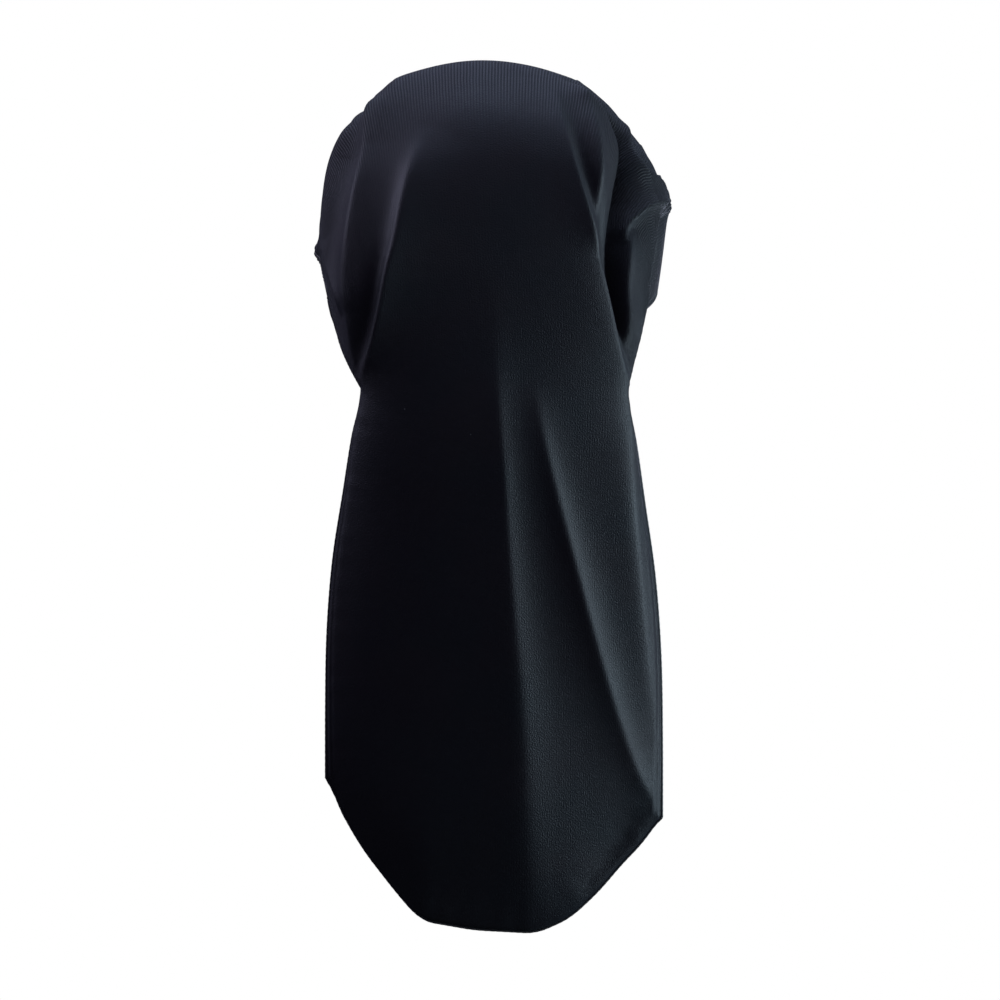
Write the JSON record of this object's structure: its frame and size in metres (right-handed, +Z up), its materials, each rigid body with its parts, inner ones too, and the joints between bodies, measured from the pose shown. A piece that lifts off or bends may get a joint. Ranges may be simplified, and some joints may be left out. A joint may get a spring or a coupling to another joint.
{
  "type": "dreadlock cap",
  "caption": "Stretch knit dreadlock cap with a wide head band and a long closed bag that hangs down the back and holds the locks, in its worn form.",
  "frame": {"origin": "the inside of the crown at its top, where the wearer's head carries the cap", "axes": "+Z up, +Y the way the wearer faces, +X towards the wearer's right; the bag hangs down on the -Y side"},
  "size_m": [0.1789, 0.2188, 0.4389],
  "materials": {
    "panel_knit": "satin",
    "band_knit": "satin",
    "seam_knit": "matte"
  },
  "bodies": {
    "root": {"outer_panel": "panel_knit", "inner_panel": "panel_knit", "head_band": "band_knit", "band_seam": "seam_knit", "side_seam": "seam_knit"}
  },
  "joints": []
}
